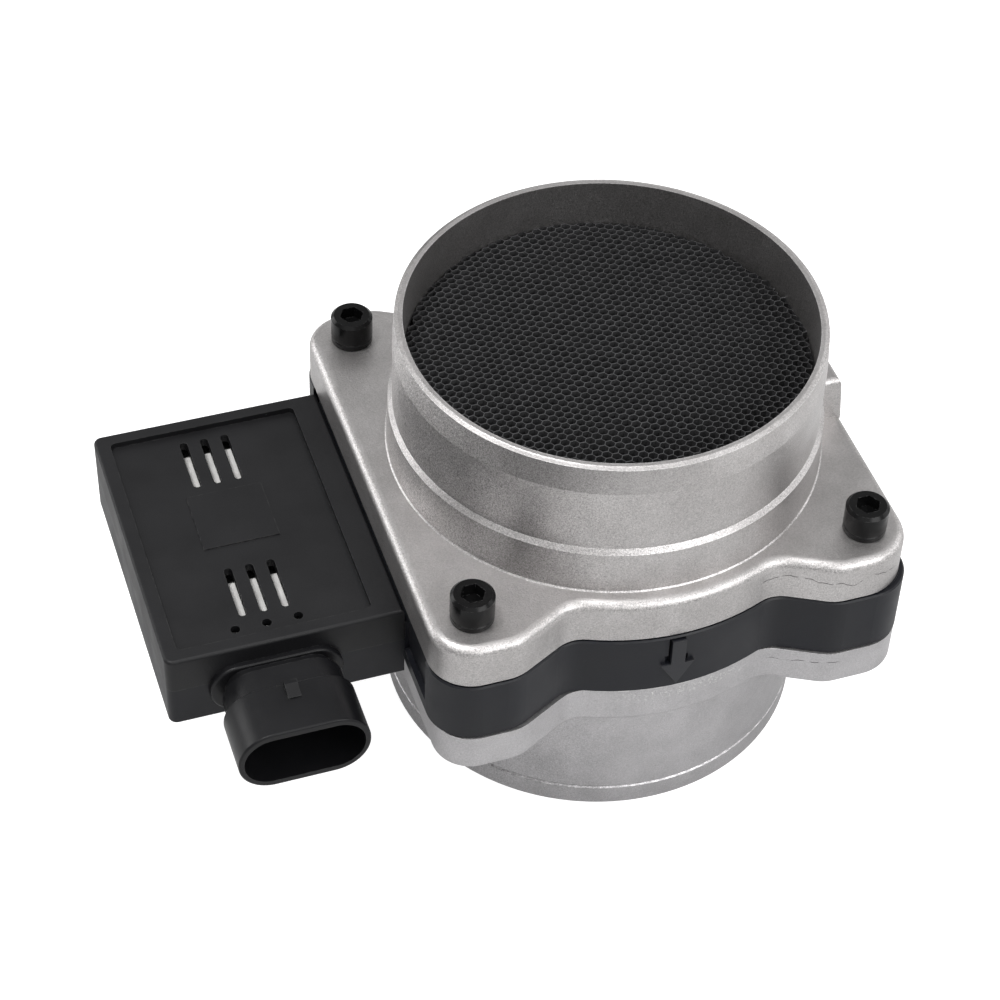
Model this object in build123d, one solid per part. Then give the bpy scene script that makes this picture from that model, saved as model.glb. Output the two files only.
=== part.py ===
from build123d import *
import math
import os

os.makedirs("parts", exist_ok=True)

# Driving dimensions in millimetres. The bore is the Z axis, air comes in at the top
# and leaves at z 0. The electronics box is on the minus X side.

# lengths of the clamped stack along the bore
outlet_len = 36.0
outlet_flange_h = 10.5
ring_h = 17.3
inlet_flange_h = 11.1
inlet_len = 36.3
z_outlet_flange = outlet_len
z_ring = z_outlet_flange + outlet_flange_h
z_inlet_flange = z_ring + ring_h
z_flange_top = z_inlet_flange + inlet_flange_h
z_rim = z_flange_top + inlet_len

# bore and tubes, with the walls measured outwards from the bore
bore_r = 47.0
throat_step = 2.0
ledge_step = 1.2
rim_wall = 0.9
band_wall = 1.95
band_h = 7.2
band_chamfer = 0.4
neck_wall = 2.4
shoulder_w = 1.0
shoulder_up = 11.2
shoulder_h = 1.2
base_out = 0.35
foot_r = 0.3
throat_r = bore_r - throat_step
ledge_r = bore_r - ledge_step
rim_r = bore_r + band_wall
neck_r = bore_r + neck_wall
shoulder_out_r = neck_r + shoulder_w
base_r = shoulder_out_r + base_out
shoulder_z = z_flange_top + shoulder_up

outlet_wall = 3.9
outlet_band_h = 5.6
outlet_groove_w = 0.9
outlet_groove_depth = 0.35
outlet_chamfer = 0.4
outlet_open = 0.9
outlet_taper = 32.0
outlet_r = bore_r + outlet_wall
outlet_bore_r = bore_r + outlet_open

# flange outline, shared by both castings and the black ring
ring_wall = 8.2
left_out = 2.0
right_out = 1.0
front_out = 1.6
back_out = 2.8
lobe_left_w = 18.2
lobe_right_w = 19.7
lobe_run = 25.0
lobe_slope = 0.509
corner_r = 10.0
valley_r = 8.0
flange_round = 2.5
outlet_round = 1.5
inlet_left_out = 0.3
inlet_right_in = 0.2
inlet_right_corner = 12.0
outlet_left_in = 0.5
outlet_front_out = 0.8
outlet_left_corner = 9.0
ring_left_out = 0.5
ring_out = 0.4
ring_chamfer = 0.35
gap_line_h = 0.5
gap_line_in = 0.9
side_recess = 1.3
recess_half = 46.0
recess_above = 3.5
arc_r = bore_r + ring_wall
side_left = -(arc_r + left_out)
side_right = arc_r + right_out
side_front = -(arc_r + front_out)
side_back = arc_r + back_out
ring_left = side_left - ring_left_out
recess_x = ring_left + side_recess

# M6 socket head screws through the four corners
screw_front_in = 0.4
screw_x = (side_left + corner_r, side_right - corner_r)
screw_y = (side_front + corner_r + screw_front_in, side_back - corner_r)
screw_r = 2.95
head_r = 5.0
head_h = 6.0
head_chamfer = 0.7
head_round = 0.3
hex_af = 5.0
hex_depth = 3.0
screw_reach = 38.2
washer_in = 0.05
washer_h = 1.6
washer_chamfer = 0.2
washer_split = 0.7
screw_gap = 0.35
thread_gap = 0.05
sleeve_wall = 1.5
washer_r = head_r - washer_in
clear_r = screw_r + screw_gap
tap_r = screw_r + thread_gap
sleeve_r = clear_r + sleeve_wall

# locating pad on the inlet casting, on the side away from the box
pad_half = 10.6
pad_in = 0.4
pad_up = 11.6
pad_lean = 1.2
pad_round = 1.6
pad_x = side_right - pad_in
pad_top = z_flange_top + pad_up

# screen and its frame on a ledge in the bore
screen_below = 11.8
frame_h = 0.9
frame_w = 1.7
screen_h = 8.0
screen_gap = 0.1
screen_rim = 1.0
screen_cell = 8.1
screen_bar = 0.8
ledge_z = z_rim - screen_below - screen_h - frame_h

# seals between the castings and the ring
seal_in_wall = 4.9
seal_w = 2.8
seal_depth = 2.0
seal_side = 0.2
seal_chamfer = 0.6
seal_in_r = throat_r + seal_in_wall
seal_out_r = seal_in_r + seal_w

# electronics box, beside the ring
box_gap = 0.4
box_len = 55.0
box_front = -30.0
box_width = 74.7
box_below = 4.5
tray_up = 6.7
cover_h = 9.5
roof_h = 3.7
box_wall = 2.2
neck_gap = 0.1
neck_below_top = 3.7
box_corner = 2.0
box_low_round = 0.7
box_top_round = 0.8
floor_h = 2.0
gasket_w = 1.0
gasket_gap = 0.1
gasket_h = 1.2
box_right = side_left - box_gap
box_left = box_right - box_len
box_back = box_front + box_width
box_bottom = z_ring - box_below
box_joint = z_ring + tray_up
box_top = box_joint + cover_h
roof_z = box_top - roof_h
box_mid_x = (box_left + box_right) / 2
box_mid_y = (box_front + box_back) / 2

# cover details
panel_in_left = 3.5
panel_in_right = 6.6
panel_in_y = 3.4
panel_depth = 1.5
panel_corner = 1.2
slot_shift = -2.1
slot_pitch = 5.0
slot_w = 1.9
slot_front_in = 10.5
slot_front_len = 15.1
slot_back_in = 6.4
slot_back_len = 15.4
vent_in = 7.0
vent_shift = -0.5
vent_pitch = 7.3
vent_r = 1.1
patch_shift = 0.4
patch_up = 3.95
patch_w = 18.0
patch_l = 17.5
patch_high = 0.3
panel_left = box_left + panel_in_left
panel_right = box_right - panel_in_right
panel_front = box_front + panel_in_y
panel_back = box_back - panel_in_y
slot_x = box_mid_x + slot_shift
slot_front = box_front + slot_front_in
slot_back = box_back - slot_back_in
slot_rows = (
    (slot_front, slot_front + slot_front_len),
    (slot_back - slot_back_len, slot_back),
)
vent_x = slot_x + vent_shift
vent_y = box_front + vent_in
patch_x = slot_x + patch_shift
patch_y = box_mid_y + patch_up

# board, plate and their posts inside the box
post_in_left = 6.7
post_in_right = 6.9
post_in_front = 6.5
post_in_back = 6.3
post_r = 3.4
stem_r = 2.0
stem_gap = 0.2
board_up = 2.5
board_h = 1.6
board_gap = 0.6
plate_up = 4.2
plate_h = 1.5
plate_gap = 0.8
plate_corner = 1.5
plate_hole_r = 1.7
small_screw_r = 1.2
small_head_r = 2.8
small_head_h = 1.7
small_head_round = 0.6
cross_w = 0.7
cross_l = 3.0
cross_depth = 0.8
small_reach = 2.5
post_x = (box_left + post_in_left, box_right - post_in_right)
post_y = (box_front + post_in_front, box_back - post_in_back)
board_z = z_ring + board_up
board_top = board_z + board_h
plate_z = board_top + plate_up

# what is on the board
chip_shift_x = -1.0
chip_shift_y = 1.1
chip_w = 12.0
chip_h = 2.2
chip_corner = 0.6
bridge_pad_w = 14.0
resistor_w = 3.2
resistor_l = 1.6
resistor_h = 0.6
resistor_in = 7.9
resistor_back = 13.0
resistor_front = 17.0
capacitor_r = 2.6
capacitor_h = 3.4
capacitor_in = 9.4
capacitor_from_back_row = 7.4
capacitor_from_front_row = 5.0
capacitor_right_in = 11.6
chip_x = slot_x + chip_shift_x
chip_y = box_mid_y + chip_shift_y

# connector on the front of the box
conn_shift = -0.3
conn_up = 4.75
mouth_w = 30.2
mouth_h = 17.1
mouth_out = 24.0
mouth_wall_x = 1.3
mouth_wall_z = 1.7
mouth_round = 0.5
shroud_len = 14.2
shroud_chamfer = 0.8
middle_out = 4.5
middle_len = 6.0
middle_less_w = 2.6
middle_less_h = 0.7
root_out = 6.0
root_less_w = 5.2
root_less_h = 5.1
collar_out = 1.6
collar_more_w = 0.7
collar_less_h = 3.5
collar_shift = 0.3
collar_drop = 0.1
collar_round = 0.6
socket_out = 6.5
plug_half = 11.0
plug_below = 2.0
plug_above = 1.3
ramp_half = 1.5
ramp_back = 9.0
ramp_run = 3.4
ramp_flat = 1.0
ramp_h = 1.2
ramp_foot = 0.3
pin_w = 1.5
pin_h = 0.8
pin_pitch = 5.6
pin_back = 9.0
pin_in = 8.0
pin_chamfer = 0.25
conn_x = slot_x + conn_shift
conn_z = z_ring + conn_up
mouth_y = box_front - mouth_out
socket_y = box_front - socket_out
pin_tip = mouth_y + pin_back

# sensing bridge across the bore
bridge_half = 5.0
bridge_up = 1.3
bridge_h = 6.2
bridge_round = 2.8
bridge_into = 3.4
bridge_pocket_in = 5.0
lug_in = 1.5
lug_gap = 0.3
bridge_gap = 0.1
tube_out_r = 9.0
tube_in_r = 7.0
tube_below = 4.8
tube_above = 5.0
tube_chamfer = 0.5
lead_pitch = 2.2
lead_mid = 1.2
lead_w = 0.8
lead_h = 0.5
lead_end = -9.5
lead_start_in = 6.4
post_end_r = 0.5
post_lap = 0.6
tunnel_side = 0.4
tunnel_drop = 0.3
tunnel_h = 1.3
wire_x = -2.5
wire_r = 0.25
bead_x = -5.0
bead_r = 0.6
bridge_z = z_ring + bridge_up
bridge_end = throat_r + bridge_into
tube_z0 = bridge_z - tube_below
tube_z1 = bridge_z + bridge_h + tube_above
lead_y = (-lead_mid - lead_pitch, -lead_mid, lead_mid, lead_mid + lead_pitch)
tunnel_half = lead_mid + lead_pitch + lead_w / 2 + tunnel_side

# flow arrow on the front of the ring
arrow_x = -1.2
arrow_w = 8.0
arrow_shaft = 3.3
arrow_below_top = 1.4
arrow_above_ring = 1.8
arrow_head_h = 6.6
arrow_out = 0.8
arrow_sunk = 3.0
pocket_left_w = 1.4
pocket_left_h = 2.4
pocket_line_w = 0.6
pocket_right_w = 0.9
pocket_right_h = 2.0
pocket_top_h = 0.5
pocket_deep = 1.1
ring_arc_r = arc_r + ring_out
arrow_top = z_inlet_flange - arrow_below_top
arrow_tip = z_ring + arrow_above_ring
arrow_barb = arrow_tip + arrow_head_h


def block(x0, x1, y0, y1, z0, z1):
    """A box from its six faces."""
    size = Box(abs(x1 - x0), abs(y1 - y0), abs(z1 - z0))
    return Pos((x0 + x1) / 2, (y0 + y1) / 2, (z0 + z1) / 2) * size


def rod(x, y, z0, z1, r):
    """An upright round bar."""
    return Pos(x, y, (z0 + z1) / 2) * Cylinder(r, z1 - z0)


def ring_of(r0, r1, z0, z1):
    return rod(0, 0, z0, z1, r1) - rod(0, 0, z0 - 1, z1 + 1, r0)


def turned(points):
    """Spins a profile of (radius, height) points round the bore axis."""
    face = make_face(Plane.XZ * Polyline(*points, close=True))
    return revolve(face, Axis.Z)


def at_screws(make):
    """One solid from make at each corner screw."""
    return [make(x, y) for y in screw_y for x in screw_x]


def save(name, solids):
    solids = solids if isinstance(solids, list) else [solids]
    flat = []
    for s in solids:
        flat += list(s.solids())
    shape = flat[0] if len(flat) == 1 else Compound(children=flat)
    export_step(shape, "parts/" + name + ".step")
    print(name, len(flat), round(sum(s.volume for s in flat), 1))


# the lobed plan shape


def lobe_points(sign, edge, left, right):
    """Corners of the two lobes along one long side."""
    run_y = edge - sign * lobe_run * lobe_slope
    return [
        (left, edge),
        (left + lobe_left_w, edge),
        (left + lobe_left_w + lobe_run, run_y),
        (right - lobe_right_w - lobe_run, run_y),
        (right - lobe_right_w, edge),
        (right, edge),
    ]


def outline(left, right, front, back, arc, left_corner, right_corner):
    """Two straight sides, four round corners, an arc front and back."""
    points = lobe_points(-1, front, left, right) + lobe_points(1, back, left, right)[::-1]
    plan = make_face(Polyline(*points, close=True)) + Circle(arc)
    groups = {left_corner: [], right_corner: [], "knee": [], "valley": []}
    for v in plan.vertices():
        near_edge = min(abs(v.Y - front), abs(v.Y - back)) < 0.01
        if near_edge and abs(v.X - left) < 0.01:
            groups[left_corner].append(v)
        elif near_edge and abs(v.X - right) < 0.01:
            groups[right_corner].append(v)
        elif near_edge:
            groups["knee"].append(v)
        elif abs(math.hypot(v.X, v.Y) - arc) < 0.01 and abs(v.Y) > arc / 2:
            groups["valley"].append(v)
    radii = {"knee": corner_r, "valley": valley_r}
    for name, spots in groups.items():
        near = []
        for v in plan.vertices():
            for w in spots:
                if math.hypot(v.X - w.X, v.Y - w.Y) < 0.05:
                    near.append(v)
        plan = fillet(near, radii.get(name, name))
    return plan


def ring_outline(inwards):
    """Outline of the black ring, drawn in all round by a small step."""
    return outline(
        ring_left + inwards, side_right + ring_out - inwards,
        side_front - ring_out + inwards, side_back + ring_out - inwards,
        arc_r + ring_out - inwards, corner_r, corner_r)


def plate_of(plan, z0, z1):
    return extrude(Pos(0, 0, z0) * plan, z1 - z0)


def rounded_plate(plan, z0, z1, top):
    """A plan shape with its upper or lower outer edge rounded."""
    body = plate_of(plan, z0, z1)
    z = z1 if top else z0
    edges = body.edges().filter_by_position(Axis.Z, z - 0.01, z + 0.01)
    return fillet(edges, flange_round if top else outlet_round)


inlet_plan = outline(
    side_left - inlet_left_out, side_right - inlet_right_in,
    side_front, side_back, arc_r, corner_r, inlet_right_corner)
outlet_plan = outline(
    side_left + outlet_left_in, side_right,
    side_front - outlet_front_out, side_back, arc_r, outlet_left_corner, corner_r)


# castings


def inlet_housing():
    tube = turned([
        (base_r + foot_r, z_flange_top - 1.0),
        (base_r + foot_r, z_flange_top),
        (base_r, z_flange_top + foot_r),
        (shoulder_out_r, shoulder_z),
        (neck_r, shoulder_z + shoulder_h),
        (neck_r, z_rim - band_h),
        (rim_r, z_rim - band_chamfer),
        (bore_r + rim_wall, z_rim),
        (throat_r - 1, z_rim),
        (throat_r - 1, z_flange_top - 1.0),
    ])
    pad = block(neck_r - 0.5, pad_x, -pad_half, pad_half, z_flange_top - 1, pad_top)
    lean = Plane.XZ * make_face(Polyline(
        (pad_x, z_flange_top), (pad_x + 3, z_flange_top),
        (pad_x + 3, pad_top + 1), (pad_x - pad_lean, pad_top + 1),
        close=True))
    pad -= extrude(lean, 2 * pad_half, both=True)
    high = pad.edges().filter_by_position(Axis.Z, pad_top - 0.01, pad_top + 0.01)
    high = high.filter_by_position(Axis.X, neck_r + 1, pad_x + 1)
    pad = fillet(high, pad_round)
    body = rounded_plate(inlet_plan, z_inlet_flange, z_flange_top, True)
    body += tube
    body += pad
    body -= rod(0, 0, ledge_z, z_rim + 1, bore_r)
    body -= turned([
        (0, z_inlet_flange - 1), (throat_r, z_inlet_flange - 1),
        (throat_r, z_inlet_flange), (ledge_r, z_flange_top),
        (ledge_r, ledge_z + 1), (0, ledge_z + 1),
    ])
    for x in screw_x:
        for y in screw_y:
            body -= rod(x, y, z_inlet_flange - 1, z_flange_top + 1, clear_r)
    return body


def outlet_housing():
    tube = turned([
        (outlet_bore_r, 0),
        (outlet_r - outlet_chamfer, 0),
        (outlet_r, outlet_chamfer),
        (outlet_r, outlet_band_h),
        (outlet_r - outlet_groove_depth, outlet_band_h + outlet_groove_w / 3),
        (outlet_r, outlet_band_h + outlet_groove_w),
        (outlet_r, z_outlet_flange + 1),
        (throat_r - 1, z_outlet_flange + 1),
        (throat_r - 1, outlet_taper),
    ])
    body = rounded_plate(outlet_plan, z_outlet_flange, z_ring, False)
    body += tube
    body -= turned([
        (0, -1), (outlet_bore_r, -1), (outlet_bore_r, 0),
        (throat_r, outlet_taper), (throat_r, z_ring + 1), (0, z_ring + 1),
    ])
    for x in screw_x:
        for y in screw_y:
            body -= rod(x, y, z_outlet_flange - 1, z_ring + 1, tap_r)
    return body


# black moulding: ring between the castings, with the open tray of the box


def seal_groove(z0, z1):
    return ring_of(seal_in_r, seal_out_r, z0, z1)


def arrow_shape():
    """Raised arrow that follows the round front of the ring."""
    flat = Polyline(
        (arrow_x - arrow_shaft / 2, arrow_top),
        (arrow_x + arrow_shaft / 2, arrow_top),
        (arrow_x + arrow_shaft / 2, arrow_barb),
        (arrow_x + arrow_w / 2, arrow_barb),
        (arrow_x, arrow_tip),
        (arrow_x - arrow_w / 2, arrow_barb),
        (arrow_x - arrow_shaft / 2, arrow_barb),
        close=True)
    face = Pos(0, -ring_arc_r + arrow_sunk, 0) * (Plane.XZ * make_face(flat))
    long = extrude(face, arrow_sunk + 5, dir=(0, -1, 0))
    return long & rod(0, 0, arrow_tip - 1, arrow_top + 1, ring_arc_r + arrow_out)


def arrow_pockets():
    """Hollows beside and above the arrow's shaft."""
    left = arrow_x - arrow_shaft / 2
    right = arrow_x + arrow_shaft / 2
    y = -math.sqrt(ring_arc_r ** 2 - arrow_x ** 2)
    a = make_face(Polyline(
        (left - pocket_left_w, y - 2.0), (left - pocket_left_w, y + 0.1),
        (left, y + pocket_deep), (left, y - 2.0), close=True))
    side = block(left - pocket_line_w, left, y - 2.0, y + pocket_deep,
                 arrow_barb, arrow_top + pocket_top_h)
    b = make_face(Polyline(
        (right + pocket_right_w, y - 2.0), (right + pocket_right_w, y + 0.3),
        (right, y + pocket_deep), (right, y - 2.0), close=True))
    cut_a = extrude(Pos(0, 0, arrow_barb) * a, pocket_left_h)
    cut_b = extrude(Pos(0, 0, arrow_barb) * b, pocket_right_h)
    over = block(left - pocket_line_w, right, y - 2.0, y + pocket_deep,
                 arrow_top, arrow_top + pocket_top_h)
    return [cut_a, cut_b, side, over]


def tray():
    body = block(box_left, box_right, box_front, box_back, box_bottom, box_joint)
    left = body.edges().filter_by(Axis.Z)
    left = left.filter_by_position(Axis.X, box_left - 0.01, box_left + 0.01)
    body = fillet(left, box_corner)
    low = body.edges().filter_by_position(Axis.Z, box_bottom - 0.01, box_bottom + 0.01)
    low = low.filter_by_position(Axis.X, box_left - 0.01, box_right - 1)
    body = fillet(low, box_low_round)
    return body


def sensor_body():
    low, high = z_ring, z_inlet_flange - gap_line_h
    body = plate_of(ring_outline(0), low, high)
    ends = body.edges().filter_by_position(Axis.Z, low - 0.01, low + 0.01)
    ends += body.edges().filter_by_position(Axis.Z, high - 0.01, high + 0.01)
    body = chamfer(ends, ring_chamfer)
    body += plate_of(ring_outline(gap_line_in), high - 1, z_inlet_flange)
    body -= block(
        ring_left - 1, recess_x, -recess_half, recess_half,
        z_ring + recess_above, z_inlet_flange + 1)
    body += tray()
    body += block(
        box_right - 0.2, recess_x + 0.3, box_front, box_back, z_ring, box_joint)
    body += block(
        box_right + neck_gap, recess_x + 0.3, box_front, box_back,
        box_joint - 0.5, box_top - neck_below_top)
    w = box_wall
    body -= block(
        box_left + w, box_right - w, box_front + w, box_back - w,
        box_bottom + floor_h, box_joint + 1)
    g = w - gasket_w - gasket_gap
    body -= block(
        box_left + g, box_right - g, box_front + g, box_back - g,
        box_joint - gasket_h, box_joint + 1)
    for x in post_x:
        for y in post_y:
            body += rod(x, y, box_bottom + floor_h - 0.5, board_z, post_r)
            body += rod(x, y, board_z - 0.5, plate_z, stem_r)
            body -= rod(x, y, board_z - 3, plate_z + 1, small_screw_r)
    body += arrow_shape()
    for cut in arrow_pockets():
        body -= cut
    body -= rod(0, 0, z_ring - 1, z_inlet_flange + 1, throat_r)
    body -= seal_groove(z_inlet_flange - seal_depth, z_inlet_flange + 1)
    body -= seal_groove(z_ring - 1, z_ring + seal_depth)
    for x in screw_x:
        for y in screw_y:
            body -= rod(x, y, z_ring - 1, z_inlet_flange + 1, sleeve_r)
    for s in (-1, 1):
        body -= block(
            s * (throat_r - bridge_pocket_in), s * (bridge_end + bridge_gap),
            -bridge_half, bridge_half,
            bridge_z, z_inlet_flange + 1)
    body -= tunnel(box_right - box_wall - 1, bridge_pocket_in - throat_r)
    body -= plug(box_front - 1, box_front + box_wall + 1)
    return body


def tunnel(x0, x1):
    """Passage that the leads run through."""
    z0 = board_top - tunnel_drop
    return block(x0, x1, -tunnel_half, tunnel_half, z0, z0 + tunnel_h)


def plug(y0, y1):
    """Back end of the connector, inside the wall of the box."""
    z0, z1 = board_z - plug_below, board_top + plug_above
    return block(conn_x - plug_half, conn_x + plug_half, y0, y1, z0, z1)


# cover, plate, board and what is on them


def slot(x, y0, y1):
    r = slot_w / 2
    z0, z1 = roof_z - 1, box_top
    cut = block(x - r, x + r, y0 + r, y1 - r, z0, z1)
    cut += rod(x, y0 + r, z0, z1, r)
    cut += rod(x, y1 - r, z0, z1, r)
    return cut


def electronics_cover():
    body = block(box_left, box_right, box_front, box_back, box_joint, box_top)
    left = body.edges().filter_by(Axis.Z)
    left = left.filter_by_position(Axis.X, box_left - 0.01, box_left + 0.01)
    body = fillet(left, box_corner)
    top = body.edges().filter_by_position(Axis.Z, box_top - 0.01, box_top + 0.01)
    body = fillet(top, box_top_round)
    panel = block(
        panel_left, panel_right, panel_front, panel_back,
        box_top - panel_depth, box_top + 1)
    panel = fillet(panel.edges().filter_by(Axis.Z), panel_corner)
    body -= panel
    w = box_wall
    body -= block(
        box_left + w, box_right - w, box_front + w, box_back - w,
        box_joint - 1, roof_z)
    for k in (-1, 0, 1):
        for y0, y1 in slot_rows:
            body -= slot(slot_x + k * slot_pitch, y0, y1)
        body -= rod(vent_x + k * vent_pitch, vent_y, roof_z - 1, box_top, vent_r)
    floor = box_top - panel_depth
    body += block(
        patch_x - patch_w / 2, patch_x + patch_w / 2,
        patch_y - patch_l / 2, patch_y + patch_l / 2,
        floor - 0.5, floor + patch_high)
    return body


def cover_gasket():
    w = box_wall
    g = w - gasket_w
    z0, z1 = box_joint - gasket_h, box_joint
    body = block(
        box_left + g, box_right - g, box_front + g, box_back - g, z0, z1)
    body -= block(
        box_left + w, box_right - w, box_front + w, box_back - w, z0 - 1, z1 + 1)
    return body


def plate_holes(body, r, z0, z1):
    for x in post_x:
        for y in post_y:
            body -= rod(x, y, z0, z1, r)
    return body


def in_box(gap, z0, z1):
    """A flat plate that fits inside the walls of the box."""
    g = box_wall + gap
    return block(box_left + g, box_right - g, box_front + g, box_back - g, z0, z1)


def heat_spreader():
    body = in_box(plate_gap, plate_z, plate_z + plate_h)
    body = fillet(body.edges().filter_by(Axis.Z), plate_corner)
    half = bridge_pad_w / 2
    body += block(
        chip_x - half, chip_x + half, chip_y - half, chip_y + half,
        board_top + chip_h, plate_z + 0.5)
    return plate_holes(body, plate_hole_r, plate_z - 1, plate_z + plate_h + 1)


def circuit_board():
    body = in_box(board_gap, board_z, board_top)
    return plate_holes(body, stem_r + stem_gap, board_z - 1, board_top + 1)


def control_chip():
    half = chip_w / 2
    body = block(
        chip_x - half, chip_x + half, chip_y - half, chip_y + half,
        board_top, board_top + chip_h)
    return chamfer(body.edges().filter_by(Axis.Z), chip_corner)


def chip_resistors():
    first = box_left + box_wall + board_gap + resistor_in
    last = box_right - box_wall - board_gap - resistor_in - resistor_w - 2.0
    out = []
    for k in range(6):
        x = first + (last - first) * k / 5
        for y in (chip_y + resistor_back, chip_y - resistor_front):
            out.append(block(
                x, x + resistor_w, y, y + resistor_l, board_top, board_top + resistor_h))
    return out


def capacitors():
    left = box_left + box_wall + board_gap
    right = box_right - box_wall - board_gap
    back = chip_y + resistor_back + resistor_l + capacitor_from_back_row
    front = chip_y - resistor_front - capacitor_from_front_row
    first = left + capacitor_in
    last = right - capacitor_in - 10.2
    spots = [(first, back), ((first + last) / 2, back), (last, back)]
    spots.append((right - capacitor_right_in, front))
    return [rod(x, y, board_top, board_top + capacitor_h, capacitor_r) for x, y in spots]


def board_screws():
    z = plate_z + plate_h
    out = []
    for x in post_x:
        for y in post_y:
            head = rod(x, y, z, z + small_head_h, small_head_r)
            top = head.edges().filter_by_position(
                Axis.Z, z + small_head_h - 0.01, z + small_head_h + 0.01)
            head = fillet(top, small_head_round)
            for a in (0, 90):
                turn = Pos(x, y, z + small_head_h) * Rot(0, 0, a)
                head -= turn * Box(cross_l, cross_w, 2 * cross_depth)
            out.append(head + rod(x, y, board_z - small_reach, z + 0.2, small_screw_r))
    return out


# connector


def oval(y0, y1, w, h, x=None, z=None):
    """Stadium-shaped bar along Y."""
    x = conn_x if x is None else x
    z = conn_z if z is None else z
    where = Plane(origin=(x, y0, z), x_dir=(1, 0, 0), z_dir=(0, -1, 0))
    return extrude(where * RectangleRounded(w, h, h / 2 - 0.2), y0 - y1)


def connector_shell():
    y = box_front - collar_out
    collar = oval(
        box_front, y, mouth_w + collar_more_w, mouth_h - collar_less_h,
        conn_x - collar_shift, conn_z - collar_drop)
    front = collar.edges().filter_by_position(Axis.Y, y - 0.01, y + 0.01)
    collar = fillet(front, collar_round)
    root = oval(
        box_front - 1.0, box_front - root_out, mouth_w - root_less_w, mouth_h - root_less_h)
    y = box_front - middle_out
    middle = oval(y, y - middle_len, mouth_w - middle_less_w, mouth_h - middle_less_h)
    y = mouth_y + shroud_len
    shroud = oval(y, mouth_y, mouth_w, mouth_h)
    back = shroud.edges().filter_by_position(Axis.Y, y - 0.01, y + 0.01)
    shroud = chamfer(back, shroud_chamfer)
    lip = shroud.edges().filter_by_position(Axis.Y, mouth_y - 0.01, mouth_y + 0.01)
    shroud = fillet(lip, mouth_round)
    body = collar + root + middle + shroud
    inner_w = mouth_w - 2 * mouth_wall_x
    inner_h = mouth_h - 2 * mouth_wall_z
    body -= oval(socket_y, mouth_y - 1, inner_w, inner_h)
    z = conn_z + mouth_h / 2
    y0 = mouth_y + ramp_back
    y1 = y0 + ramp_run
    ramp = Plane.YZ * make_face(Polyline(
        (y0, z - 0.6), (y0, z + ramp_foot), (y1, z + ramp_h),
        (y1 + ramp_flat, z + ramp_h), (y1 + ramp_flat, z - 0.6), close=True))
    body += Pos(conn_x + 0.3, 0, 0) * extrude(ramp, ramp_half, both=True)
    body += plug(box_front - 0.5, box_front + box_wall)
    for p in connector_pins():
        body -= p
    return body


def connector_pins():
    out = []
    z0 = board_top
    for k in (-1, 0, 1):
        x = conn_x + k * pin_pitch
        pin = block(
            x - pin_w / 2, x + pin_w / 2, pin_tip, box_front + pin_in, z0, z0 + pin_h)
        tip = pin.edges().filter_by_position(Axis.Y, pin_tip - 0.01, pin_tip + 0.01)
        out.append(chamfer(tip, pin_chamfer))
    return out


# sensing bridge and its elements


def sampling_bridge():
    z0, z1 = bridge_z, bridge_z + bridge_h
    reach = throat_r + 0.5
    bar = block(-reach, reach, -bridge_half, bridge_half, z0, z1)
    bar = fillet(bar.edges().filter_by(Axis.X), bridge_round)
    tube = ring_of(tube_in_r, tube_out_r, tube_z0, tube_z1)
    ends = tube.edges().filter_by(GeomType.CIRCLE)
    tube = chamfer(ends, tube_chamfer)
    body = bar + tube
    for s in (-1, 1):
        body += block(
            s * (throat_r - lug_in), s * bridge_end, -bridge_half, bridge_half,
            z0, z_inlet_flange - lug_gap)
    body -= rod(0, 0, tube_z0 - 1, tube_z1 + 1, tube_in_r)
    body -= tunnel(-bridge_end - 1, lead_end)
    for p in element_posts():
        body -= p
    return body & rod(0, 0, tube_z0 - 1, z_inlet_flange, bridge_end)


def level_rod(x0, x1, y, z, r):
    return Pos((x0 + x1) / 2, y, z) * (Rot(0, 90, 0) * Cylinder(r, abs(x1 - x0)))


def cross_rod(x, y0, y1, z, r):
    return Pos(x, (y0 + y1) / 2, z) * (Rot(90, 0, 0) * Cylinder(r, abs(y1 - y0)))


def lead_z():
    return board_top + lead_h / 2


def element_posts():
    z = lead_z()
    out = []
    for y in lead_y:
        tip = wire_x if abs(y) > lead_mid + 0.1 else bead_x
        out.append(level_rod(lead_end, tip + post_lap, y, z, post_end_r))
    return out


def hot_wire():
    inner = lead_y[3] - post_end_r
    return cross_rod(wire_x, -inner, inner, lead_z(), wire_r)


def air_temperature_bead():
    inner = lead_y[2] - post_end_r
    return cross_rod(bead_x, -inner, inner, lead_z(), bead_r)


def lead_strips():
    start = box_right - lead_start_in
    half = lead_w / 2
    out = []
    for y in lead_y:
        out.append(block(start, lead_end, y - half, y + half, board_top, board_top + lead_h))
    return out


# screen, seals and fasteners


def inlet_screen():
    """A thin disc with six-sided gaps; the rim is solid."""
    z0 = ledge_z + frame_h
    r = bore_r - screen_gap
    body = rod(0, 0, z0, z0 + screen_h, r)
    step = screen_cell
    side = (step - screen_bar) / 2 / math.cos(math.pi / 6)
    cuts = []
    reach = math.ceil(r / step) + 1
    for i in range(-reach, reach + 1):
        x = i * step * math.cos(math.pi / 6)
        for j in range(-reach, reach + 1):
            y = (j + 0.5 * (i % 2)) * step
            if math.hypot(x, y) < r - screen_rim - side:
                cuts.append(Pos(x, y) * RegularPolygon(side, 6))
    holes = extrude(Pos(0, 0, z0 - 1) * Sketch(children=cuts), screen_h + 2)
    return body - holes


def screen_frame():
    r1 = bore_r - screen_gap
    return ring_of(r1 - frame_w, r1, ledge_z, ledge_z + frame_h)


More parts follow.
